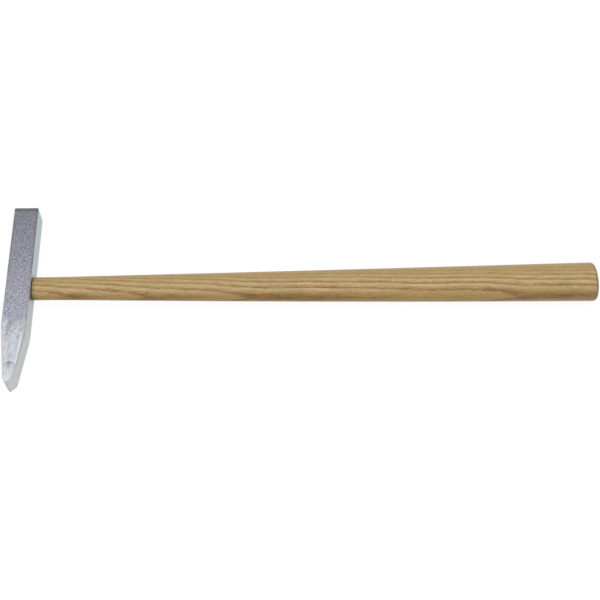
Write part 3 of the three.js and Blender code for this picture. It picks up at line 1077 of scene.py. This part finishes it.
def corner_steel(w, at):
    """The steel of the cut corners: plain outside, and in bands on the handle's side, the lowest one
    painted shade.
    """
    above_hollow = w.between(at.y, HOLLOW_TOP_Y - 3.0, HOLLOW_TOP_Y + 1.0)
    inner = w.mix(above_hollow, colour(206, 210, 214), colour(238, 243, 246))
    near_shoulder = w.between(at.y, SHOULDER_Y - 7.0, SHOULDER_Y)
    inner = w.mix(near_shoulder, inner, colour(208, 212, 218))
    # painted shade: the lower part of the inner corner, next to the side, is darker
    inner = w.mix(w.between(at.z, HALF - 0.8, HALF - 1.1), inner, colour(180, 186, 192))
    return w.mix(at.inner, colour(204, 207, 204), inner)


def steel_colour(w, at):
    steel = w.mix(at.cheek, side_steel(w, at), cheek_steel(w, at))
    steel = w.mix(at.corner, steel, corner_steel(w, at))
    worn = w.between(at.y, -CHISEL_REACH + 0.55, -CHISEL_REACH + 0.15)
    return w.mix(w.times(worn, 0.4), steel, WORN_EDGE)


# %% Material: lacquered and ground steel
def make_head_finish():
    material, w, shader = new_material("lacquered and ground steel")
    at = known_points(w)
    stroke = streaks(w, w.turn(at.place, (0, 0, STROKE_TURN)), 2.6, 0.62)
    ground = ground_mask(w, at, stroke)
    pebble, large = pebble_height(w, at.place)
    at.long_lines = streaks(w, w.turn(at.place, (0, 0, 90)), 9.0, 0.5)
    at.depth = hollow_depth(w, at)
    at.hollow = w.times(w.between(at.depth, -0.1, 0.1), at.cheek)
    at.lines = cheek_strokes(w, at, stroke)

    ground_cheek = w.times(ground, at.cheek)
    height = w.times(pebble, w.minus(at.cheek, ground_cheek))
    height = w.times_plus(w.times(at.lines, ground_cheek), 0.5, height)
    height = w.times_plus(w.times(at.long_lines, at.side), 0.15, height)
    w.fill(shader,
           Base_Color=w.mix(ground, lacquer_colour(w, at, pebble, large), steel_colour(w, at)),
           Metallic=w.maths("MAXIMUM", ground, w.times_plus(at.side, 0.4, 0.4)),
           Roughness=w.between(ground, 0, 1, 0.42, 0.36),
           Normal=w.bump(height, 0.1))
    return material


dress(head, make_head_finish())

# %% [markdown]
# ## The steel of the small wedge
#
# The steel wedge is stamped from rolled strip and left bare: plain grey, with fine lines. It
# needs no masks.

# %% Material: rolled steel
def make_plain_steel():
    material, w, shader = new_material("rolled steel")
    place = w.use(place_group)["Place"]
    lines = streaks(w, place, 4.0, 0.2)
    steel = w.ramp(lines, [(0.3, colour(130, 130, 134)), (0.7, colour(170, 170, 174))])
    w.fill(shader, Base_Color=steel, Metallic=1.0, Normal=w.bump(lines, 0.03),
           Roughness=w.between(lines, 0.3, 0.7, 0.3, 0.5))
    return material


dress(steel_wedge, make_plain_steel())

# %% [markdown]
# ## The studio
#
# The hammer lies on a white sweep, lit softly from above. Lamps strong enough to make the
# background pure white would bleach the hammer too. Instead the floor is partly a glow that
# only rays seen by eye or in a mirror meet. Other light meets a plain matt floor, so the
# hammer keeps its soft shadow.

# %% Floor
FLOOR_HALF = 3.0
FLOOR_GREY = 0.67
FLOOR_GLOW = 1.08
GLOW_SHARE = 0.88
floor_mesh = bpy.data.meshes.new("floor")
floor_corners = [(x * FLOOR_HALF, y * FLOOR_HALF, 0) for x, y in ((-1, -1), (1, -1), (1, 1), (-1, 1))]
floor_mesh.from_pydata(floor_corners, [], [(0, 1, 2, 3)])
floor = in_scene("floor", floor_mesh)


def grey(value):
    return (value, value, value, 1)


def seen_rays(w):
    """1 for rays seen straight, mirrored or through glass."""
    rays = w.add("ShaderNodeLightPath").outputs
    mirrored = w.maths("MAXIMUM", rays["Is Glossy Ray"], rays["Is Transmission Ray"])
    return w.maths("MAXIMUM", rays["Is Camera Ray"], mirrored)


def make_floor_material():
    material, w, shader = new_material("white floor")
    w.tree.nodes.remove(shader)
    matt = w.fill(w.add("ShaderNodeBsdfDiffuse"), Color=grey(FLOOR_GREY))[0]
    glow = w.fill(w.add("ShaderNodeEmission"), Strength=FLOOR_GLOW)[0]
    share = w.times(seen_rays(w), GLOW_SHARE)
    blend = w.fill(w.add("ShaderNodeMixShader"), share, matt, glow)[0]
    w.fill(w.tree.nodes["Material Output"], Surface=blend)
    return material


floor_mesh.materials.append(make_floor_material())
print("floor:", 2 * FLOOR_HALF, "m wide")

# %% [markdown]
# The sky of the studio is one gradient for the light that falls on the hammer, brighter
# overhead, so that round things look round. A second gradient is only seen: white at the
# horizon, and a little grey higher up, where the ground steel mirrors it.

# %% World
SOFT_SKY = ((0.0, grey(0.2)), (1.0, grey(0.86)))
SEEN_SKY = ((0.0, grey(1.0)), (0.35, grey(1.0)), (0.75, (0.66, 0.66, 0.67, 1)), (1.0, grey(0.9)))
world = bpy.data.worlds.new("studio")
bpy.context.scene.world = world
world.use_nodes = True
w = Wiring(world.node_tree)
height = w.parts(w.add("ShaderNodeTexCoord").outputs["Generated"])[2]
soft = w.fill(w.tree.nodes["Background"], Color=w.ramp(height, SOFT_SKY))[0]
seen = w.fill(w.add("ShaderNodeBackground"), Color=w.ramp(height, SEEN_SKY))[0]
blend = w.fill(w.add("ShaderNodeMixShader"), seen_rays(w), soft, seen)[0]
w.fill(w.tree.nodes["World Output"], Surface=blend)
print("world:", len(world.node_tree.nodes), "nodes")


# %% [markdown]
# Two soft boxes do the rest. The large one overhead gives the light its direction. Mirrored
# in the flat cheek it would be a white glare, so mirrors don't see it. The small one in front
# lifts the side towards the camera.

# %% Lamps
def soft_box(name, place, size, power, mirrored):
    """An oblong lamp that faces the hammer. Place and size are in metres, power in watts."""
    lamp = bpy.data.lights.new(name, "AREA")
    lamp.shape = "RECTANGLE"
    lamp.size, lamp.size_y = size
    lamp.energy = power
    box = in_scene(name, lamp)
    box.location = place
    box.rotation_euler = (-Vector(place)).to_track_quat("-Z", "Y").to_euler()
    box.visible_glossy = mirrored
    print("lamp:", name, power, "W")


soft_box("overhead", (0.0, 0.35, 1.5), (1.6, 1.0), 8.6, mirrored=False)
soft_box("front", (-0.1, -0.8, 1.25), (1.2, 0.7), 0.7, mirrored=True)

# %% [markdown]
# ## The camera
#
# The camera looks down on the hammer from the side of the chisel edge, steeply enough to see
# the cheek in full and a narrow strip of the inner side.

# %% Camera
CAMERA_DISTANCE = 0.717  # metres from the point it looks at
CAMERA_TILT = math.radians(29.71)
CAMERA_LEAN = math.radians(-1.98)
CAMERA_SPIN = math.radians(-0.759)
AIM_SHIFT = Vector((-3.06, -5.36, 0.7)) * MM
camera_data = bpy.data.cameras.new("camera")
camera_data.lens = 66.0
camera = in_scene("camera", camera_data)
bpy.context.scene.camera = camera
aim = (cad_low + cad_high) / 2 + AIM_SHIFT
turn = Matrix.Rotation(CAMERA_TILT, 3, "X")
turn = turn @ Matrix.Rotation(CAMERA_LEAN, 3, "Y")
turn = turn @ Matrix.Rotation(CAMERA_SPIN, 3, "Z")
back = turn @ Vector((0, 0, CAMERA_DISTANCE))
camera.matrix_world = Matrix.Translation(aim + back) @ turn.to_4x4()
bpy.context.scene.view_settings.view_transform = "Standard"
print("camera at", [round(v, 3) for v in aim + back])

# %% [markdown]
# ## Handing over
#
# Each mesh stands for one imported piece: it rides on the hammer's one body and replaces that
# piece's plain CAD shape.

# %% Hand over
for piece, node in ((head, "head"), (handle, "handle"), (beech_wedge, "wooden_wedge"),
                    (steel_wedge, "steel_wedge")):
    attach(piece, "root")
    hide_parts(node)
